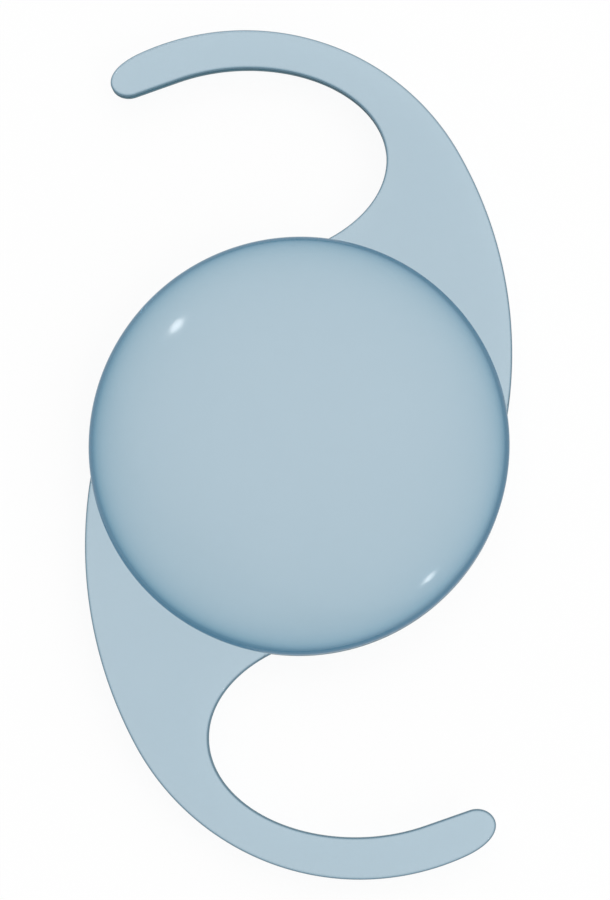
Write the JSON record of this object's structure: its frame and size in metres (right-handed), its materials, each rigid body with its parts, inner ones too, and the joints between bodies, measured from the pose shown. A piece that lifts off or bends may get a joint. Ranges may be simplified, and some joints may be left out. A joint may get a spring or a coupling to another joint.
{
  "type": "intraocular lens",
  "caption": "One-piece foldable intraocular lens: a biconvex optic with a stepped square edge, held in the capsular bag by two flat open-loop haptics.",
  "frame": {"origin": "posterior vertex of the optic, on the optical axis, which is the lowest point of the lens as it lies", "axes": "+Z along the optical axis towards the anterior side, +Y along the longer side of the haptics' span, +X to the right seen from the front"},
  "size_m": [0.0062, 0.0122, 0.0011],
  "materials": {
    "acrylic": "clear soft acrylic with a pale blue tint, polished all over"
  },
  "bodies": {
    "root": {"intraocular_lens": "acrylic"}
  },
  "joints": []
}
